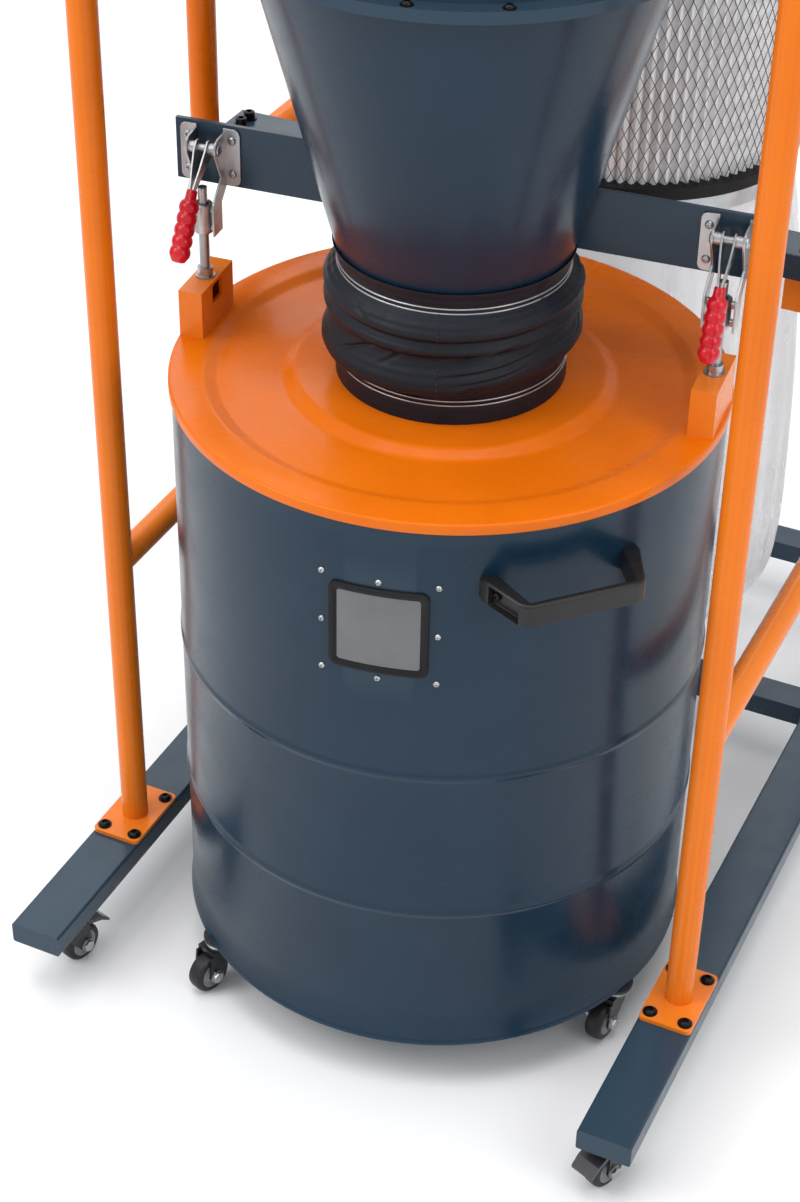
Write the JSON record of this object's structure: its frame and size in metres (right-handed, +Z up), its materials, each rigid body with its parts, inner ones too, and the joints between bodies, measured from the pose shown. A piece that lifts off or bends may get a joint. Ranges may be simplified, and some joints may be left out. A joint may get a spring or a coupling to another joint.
{
  "type": "cyclone dust separator",
  "caption": "Wheeled two-stage dust separator: a round bin rolls under a cyclone cone, its clamped lid joined by a cloth bellows, with a pleated filter and dust bag behind.",
  "frame": {"origin": "middle of the base footprint on the floor", "axes": "+Z up, +Y towards the filter, the bin rolls out towards -Y, +X to the right seen from the front"},
  "size_m": [0.7826, 1.2369, 2.041],
  "materials": {
    "navy_paint": "gloss powder coat",
    "orange_paint": "gloss powder coat",
    "zinc": "bright zinc plate",
    "red_grip": "dipped vinyl",
    "black_plastic": "fine grain",
    "black_rubber": "matte",
    "black_cloth": "coated woven cloth",
    "window_clear": "clear, slightly dusty",
    "filter_cloth": "pleated polyester",
    "bag_film": "thin milky film",
    "black_steel": "black plate",
    "tyre_rubber": "smooth tread"
  },
  "bodies": {
    "frame": {"bag_band": "zinc", "barrel_collar": "navy_paint", "base_caster_plates": "black_steel", "base_crossbars": "navy_paint", "base_rails": "navy_paint", "clamp_bases": "zinc", "clamp_plates": "navy_paint", "cross_tube": "navy_paint", "cross_tube_blocks": "orange_paint", "cyclone_barrel": "navy_paint", "cyclone_cone": "navy_paint", "dust_bag": "bag_film", "fan_housing": "navy_paint", "fan_motor": "navy_paint", "filter_arms": "navy_paint", "filter_cap": "navy_paint", "filter_cartridge": "filter_cloth", "filter_ring": "black_rubber", "foot_plates": "orange_paint", "inlet_section": "navy_paint", "inlet_spigot": "navy_paint", "joint_flange": "navy_paint", "motor_cowl": "black_plastic", "outlet_duct": "navy_paint", "rear_posts": "orange_paint", "side_hoops": "orange_paint", "side_tubes": "orange_paint"},
    "lid": {"lid": "orange_paint", "lid_seal": "black_rubber", "lid_brackets": "orange_paint", "clamp_spindles": "zinc", "bellows": "black_cloth"},
    "lever_left": {"lever_left": "zinc", "grip_left": "red_grip"},
    "lever_right": {"lever_right": "zinc", "grip_right": "red_grip"},
    "bin": {"bin_wall": "navy_paint", "bin_bottom": "navy_paint", "window_seal": "black_rubber", "window_pane": "window_clear", "bin_handles": "black_plastic", "bin_caster_plates": "black_steel"},
    "base_front_left_swivel": {"base_front_left_fork": "black_steel"},
    "base_front_left_wheel": {"base_front_left_wheel": "tyre_rubber"},
    "base_front_right_swivel": {"base_front_right_fork": "black_steel"},
    "base_front_right_wheel": {"base_front_right_wheel": "tyre_rubber"},
    "base_rear_left_swivel": {"base_rear_left_fork": "black_steel"},
    "base_rear_left_wheel": {"base_rear_left_wheel": "tyre_rubber"},
    "base_rear_right_swivel": {"base_rear_right_fork": "black_steel"},
    "base_rear_right_wheel": {"base_rear_right_wheel": "tyre_rubber"},
    "bin_front_left_swivel": {"bin_front_left_fork": "black_steel"},
    "bin_front_left_wheel": {"bin_front_left_wheel": "tyre_rubber"},
    "bin_front_right_swivel": {"bin_front_right_fork": "black_steel"},
    "bin_front_right_wheel": {"bin_front_right_wheel": "tyre_rubber"},
    "bin_rear_left_swivel": {"bin_rear_left_fork": "black_steel"},
    "bin_rear_left_wheel": {"bin_rear_left_wheel": "tyre_rubber"},
    "bin_rear_right_swivel": {"bin_rear_right_fork": "black_steel"},
    "bin_rear_right_wheel": {"bin_rear_right_wheel": "tyre_rubber"}
  },
  "joints": [
    {"name": "lid_lift", "type": "slide", "parent": "frame", "child": "lid", "axis": [0, 0, 1], "range_m": [0, 0.028], "deforming": ["bellows"]},
    {"name": "lever_left_swing", "type": "hinge", "parent": "frame", "child": "lever_left", "pos_m": [-0.28128, -0.28956, 0.986], "axis": [-0.9954, -0.0958, 0], "range_deg": [0, 100]},
    {"name": "lever_right_swing", "type": "hinge", "parent": "frame", "child": "lever_right", "pos_m": [0.28013, -0.2355, 0.986], "axis": [-0.9954, -0.0958, 0], "range_deg": [0, 100]},
    {"name": "bin_roll_out", "type": "slide", "parent": "frame", "child": "bin", "axis": [0, -1, 0], "range_m": [0, 0.75]},
    {"name": "base_front_left_swivel_turn", "type": "hinge", "parent": "frame", "child": "base_front_left_swivel", "pos_m": [-0.3595, -0.5585, 0.06], "axis": [0, 0, 1], "continuous": true},
    {"name": "base_front_left_wheel_spin", "type": "hinge", "parent": "base_front_left_swivel", "child": "base_front_left_wheel", "pos_m": [-0.35329, -0.53532, 0.025], "axis": [-0.9659, 0.2588, 0], "continuous": true},
    {"name": "base_front_right_swivel_turn", "type": "hinge", "parent": "frame", "child": "base_front_right_swivel", "pos_m": [0.3595, -0.5585, 0.06], "axis": [0, 0, 1], "continuous": true},
    {"name": "base_front_right_wheel_spin", "type": "hinge", "parent": "base_front_right_swivel", "child": "base_front_right_wheel", "pos_m": [0.35129, -0.58105, 0.025], "axis": [0.9397, -0.342, 0], "continuous": true},
    {"name": "base_rear_left_swivel_turn", "type": "hinge", "parent": "frame", "child": "base_rear_left_swivel", "pos_m": [-0.3595, 0.5585, 0.06], "axis": [0, 0, 1], "continuous": true},
    {"name": "base_rear_left_wheel_spin", "type": "hinge", "parent": "base_rear_left_swivel", "child": "base_rear_left_wheel", "pos_m": [-0.3475, 0.57929, 0.025], "axis": [-0.866, 0.5, 0], "continuous": true},
    {"name": "base_rear_right_swivel_turn", "type": "hinge", "parent": "frame", "child": "base_rear_right_swivel", "pos_m": [0.3595, 0.5585, 0.06], "axis": [0, 0, 1], "continuous": true},
    {"name": "base_rear_right_wheel_spin", "type": "hinge", "parent": "base_rear_right_swivel", "child": "base_rear_right_wheel", "pos_m": [0.35129, 0.58105, 0.025], "axis": [-0.9397, -0.342, 0], "continuous": true},
    {"name": "bin_front_left_swivel_turn", "type": "hinge", "parent": "bin", "child": "bin_front_left_swivel", "pos_m": [-0.17873, -0.48921, 0.06], "axis": [0, 0, 1], "continuous": true},
    {"name": "bin_front_left_wheel_spin", "type": "hinge", "parent": "bin_front_left_swivel", "child": "bin_front_left_wheel", "pos_m": [-0.18614, -0.51204, 0.025], "axis": [0.9511, -0.309, 0], "continuous": true},
    {"name": "bin_front_right_swivel_turn", "type": "hinge", "parent": "bin", "child": "bin_front_right_swivel", "pos_m": [0.27159, -0.35153, 0.06], "axis": [0, 0, 1], "continuous": true},
    {"name": "bin_front_right_wheel_spin", "type": "hinge", "parent": "bin_front_right_swivel", "child": "bin_front_right_wheel", "pos_m": [0.26784, -0.37524, 0.025], "axis": [0.9877, -0.1564, 0], "continuous": true},
    {"name": "bin_rear_left_swivel_turn", "type": "hinge", "parent": "bin", "child": "bin_rear_left_swivel", "pos_m": [-0.27159, -0.18547, 0.06], "axis": [0, 0, 1], "continuous": true},
    {"name": "bin_rear_left_wheel_spin", "type": "hinge", "parent": "bin_rear_left_swivel", "child": "bin_rear_left_wheel", "pos_m": [-0.2666, -0.20894, 0.025], "axis": [0.9781, 0.2079, 0], "continuous": true},
    {"name": "bin_rear_right_swivel_turn", "type": "hinge", "parent": "bin", "child": "bin_rear_right_swivel", "pos_m": [0.17873, -0.04779, 0.06], "axis": [0, 0, 1], "continuous": true},
    {"name": "bin_rear_right_wheel_spin", "type": "hinge", "parent": "bin_rear_right_swivel", "child": "bin_rear_right_wheel", "pos_m": [0.16858, -0.06954, 0.025], "axis": [0.9063, -0.4226, 0], "continuous": true}
  ],
  "couplings": [
    {"joint": "lever_left_swing", "follows": "lid_lift", "rad_per_m": 62.327},
    {"joint": "lever_right_swing", "follows": "lid_lift", "rad_per_m": 62.327}
  ]
}
